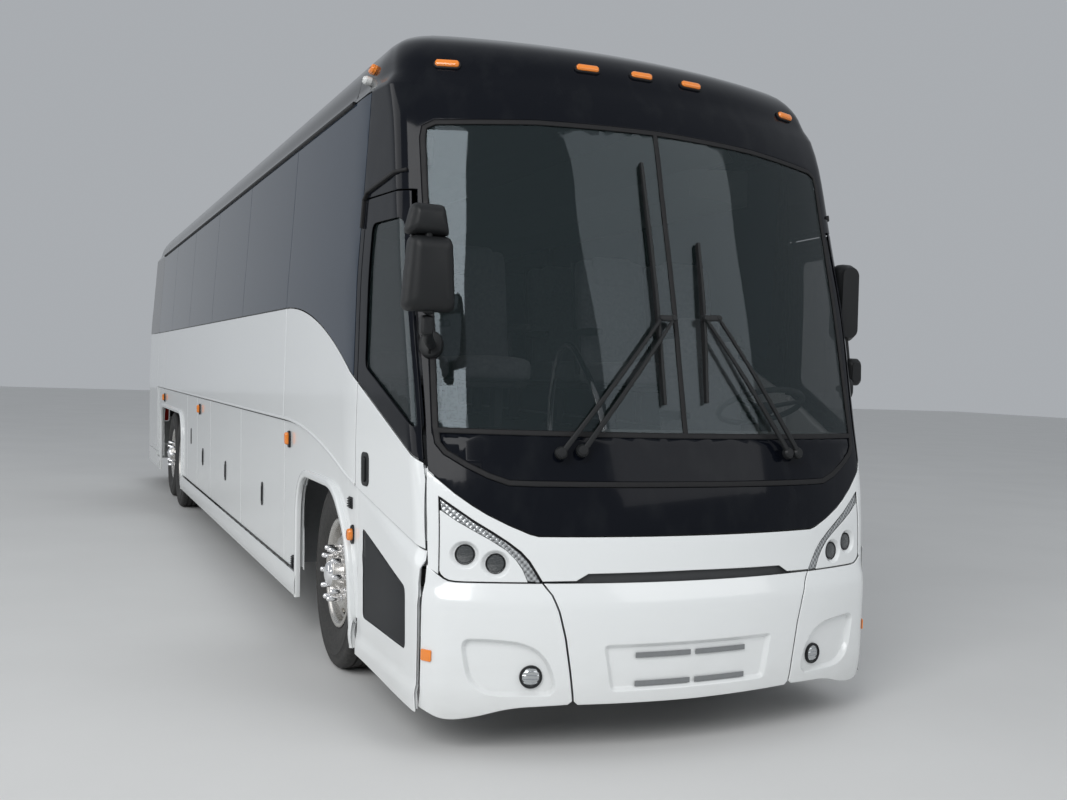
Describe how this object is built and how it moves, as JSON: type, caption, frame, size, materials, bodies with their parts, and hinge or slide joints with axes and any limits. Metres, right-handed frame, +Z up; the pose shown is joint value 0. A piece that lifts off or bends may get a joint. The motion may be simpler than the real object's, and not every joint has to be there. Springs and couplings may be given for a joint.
{
  "type": "intercity coach bus",
  "caption": "Full-size intercity coach with steered front wheels, twin drive wheels, a tag axle, luggage bays, an opening entry door, hinged bay doors and a hinged engine door.",
  "frame": {"origin": "centre of the bounding box, on the ground under the tyres", "axes": "+X towards the front, +Y towards the driver's (left) side, +Z up"},
  "size_m": [13.84, 2.8, 3.4696],
  "materials": {
    "white_paint": "gloss",
    "black_paint": "gloss",
    "glazing": "gloss",
    "black_rubber": "matt",
    "floor_plastic": "matt",
    "plain_steel": "satin",
    "frame_steel": "satin",
    "cast_block": "rough",
    "seat_fabric": "woven",
    "trim_plastic": "grained",
    "clear_lens": "gloss",
    "red_lens": "gloss",
    "amber_lens": "gloss",
    "polished_alloy": "polished",
    "tyre_rubber": "matt"
  },
  "bodies": {
    "coach": {"air_springs": "black_rubber", "bumper_centre": "white_paint", "bumper_corner_left": "white_paint", "bumper_corner_right": "white_paint", "cab_floor": "floor_plastic", "cabin_floor": "floor_plastic", "dash": "trim_plastic", "drive_axle": "cast_block", "driver_seat": "seat_fabric", "engine": "cast_block", "front_axle": "cast_block", "front_cap": "black_paint", "front_mask": "white_paint", "headlamps": "clear_lens", "luggage_bays": "plain_steel", "marker_lamps": "amber_lens", "mirror_left": "trim_plastic", "mirror_right": "trim_plastic", "nose_band": "black_paint", "parcel_racks": "trim_plastic", "passenger_seats": "seat_fabric", "roof": "black_paint", "side_glass": "glazing", "side_wall_left": "white_paint", "side_wall_right": "white_paint", "steering_wheel": "trim_plastic", "tag_axle": "cast_block", "tail_bumper": "white_paint", "tail_cap": "white_paint", "tail_lamps": "red_lens", "underframe": "frame_steel", "windshield": "glazing", "windshield_seal": "black_rubber", "wipers": "trim_plastic"},
    "entry_door": {"entry_door": "white_paint", "entry_glass": "glazing"},
    "engine_door": {"engine_door": "white_paint"},
    "steering_left": {"knuckle_left": "cast_block"},
    "steering_right": {"knuckle_right": "cast_block"},
    "luggage_door_left_1": {"luggage_door_left_1": "white_paint"},
    "luggage_door_right_1": {"luggage_door_right_1": "white_paint"},
    "luggage_door_left_2": {"luggage_door_left_2": "white_paint"},
    "luggage_door_right_2": {"luggage_door_right_2": "white_paint"},
    "luggage_door_left_3": {"luggage_door_left_3": "white_paint"},
    "luggage_door_right_3": {"luggage_door_right_3": "white_paint"},
    "wheelset_front_left": {"wheel_front_left": "polished_alloy", "tyre_front_left": "tyre_rubber"},
    "wheelset_front_right": {"wheel_front_right": "polished_alloy", "tyre_front_right": "tyre_rubber"},
    "wheelset_drive_left": {"wheel_drive_left": "polished_alloy", "tyre_drive_left": "tyre_rubber"},
    "wheelset_drive_right": {"wheel_drive_right": "polished_alloy", "tyre_drive_right": "tyre_rubber"},
    "wheelset_tag_left": {"wheel_tag_left": "polished_alloy", "tyre_tag_left": "tyre_rubber"},
    "wheelset_tag_right": {"wheel_tag_right": "polished_alloy", "tyre_tag_right": "tyre_rubber"}
  },
  "joints": [
    {"name": "entry_door_hinge", "type": "hinge", "parent": "coach", "child": "entry_door", "pos_m": [6.5765, -1.194, 1.385], "axis": [0, 0, 1], "range_deg": [0, 80]},
    {"name": "engine_door_hinge", "type": "hinge", "parent": "coach", "child": "engine_door", "pos_m": [-6.905, 0, 1.8465], "axis": [0, 1, 0], "range_deg": [0, 75]},
    {"name": "luggage_door_left_1_hinge", "type": "hinge", "parent": "coach", "child": "luggage_door_left_1", "pos_m": [2.83, 1.2835, 1.3095], "axis": [1, 0, 0], "range_deg": [0, 75]},
    {"name": "luggage_door_right_1_hinge", "type": "hinge", "parent": "coach", "child": "luggage_door_right_1", "pos_m": [2.83, -1.2835, 1.3095], "axis": [-1, 0, 0], "range_deg": [0, 75]},
    {"name": "luggage_door_left_2_hinge", "type": "hinge", "parent": "coach", "child": "luggage_door_left_2", "pos_m": [0.95, 1.2835, 1.3095], "axis": [1, 0, 0], "range_deg": [0, 75]},
    {"name": "luggage_door_right_2_hinge", "type": "hinge", "parent": "coach", "child": "luggage_door_right_2", "pos_m": [0.95, -1.2835, 1.3095], "axis": [-1, 0, 0], "range_deg": [0, 75]},
    {"name": "luggage_door_left_3_hinge", "type": "hinge", "parent": "coach", "child": "luggage_door_left_3", "pos_m": [-0.515, 1.2835, 1.3095], "axis": [1, 0, 0], "range_deg": [0, 75]},
    {"name": "luggage_door_right_3_hinge", "type": "hinge", "parent": "coach", "child": "luggage_door_right_3", "pos_m": [-0.515, -1.2835, 1.3095], "axis": [-1, 0, 0], "range_deg": [0, 75]},
    {"name": "steer_left", "type": "hinge", "parent": "coach", "child": "steering_left", "pos_m": [4.93, 0.9, 0.522], "axis": [0, 0, 1], "range_deg": [-38, 38]},
    {"name": "steer_right", "type": "hinge", "parent": "coach", "child": "steering_right", "pos_m": [4.93, -0.9, 0.522], "axis": [0, 0, 1], "range_deg": [-38, 38]},
    {"name": "wheel_front_left_spin", "type": "hinge", "parent": "steering_left", "child": "wheelset_front_left", "pos_m": [4.93, 1.05, 0.522], "axis": [0, 1, 0], "continuous": true},
    {"name": "wheel_front_right_spin", "type": "hinge", "parent": "steering_right", "child": "wheelset_front_right", "pos_m": [4.93, -1.05, 0.522], "axis": [0, 1, 0], "continuous": true},
    {"name": "wheel_drive_left_spin", "type": "hinge", "parent": "coach", "child": "wheelset_drive_left", "pos_m": [-3.09, 0.9075, 0.522], "axis": [0, 1, 0], "continuous": true},
    {"name": "wheel_drive_right_spin", "type": "hinge", "parent": "coach", "child": "wheelset_drive_right", "pos_m": [-3.09, -0.9075, 0.522], "axis": [0, 1, 0], "continuous": true},
    {"name": "wheel_tag_left_spin", "type": "hinge", "parent": "coach", "child": "wheelset_tag_left", "pos_m": [-4.31, 1.05, 0.522], "axis": [0, 1, 0], "continuous": true},
    {"name": "wheel_tag_right_spin", "type": "hinge", "parent": "coach", "child": "wheelset_tag_right", "pos_m": [-4.31, -1.05, 0.522], "axis": [0, 1, 0], "continuous": true}
  ],
  "couplings": [
    {"joint": "steer_right", "follows": "steer_left", "ratio": 1}
  ]
}
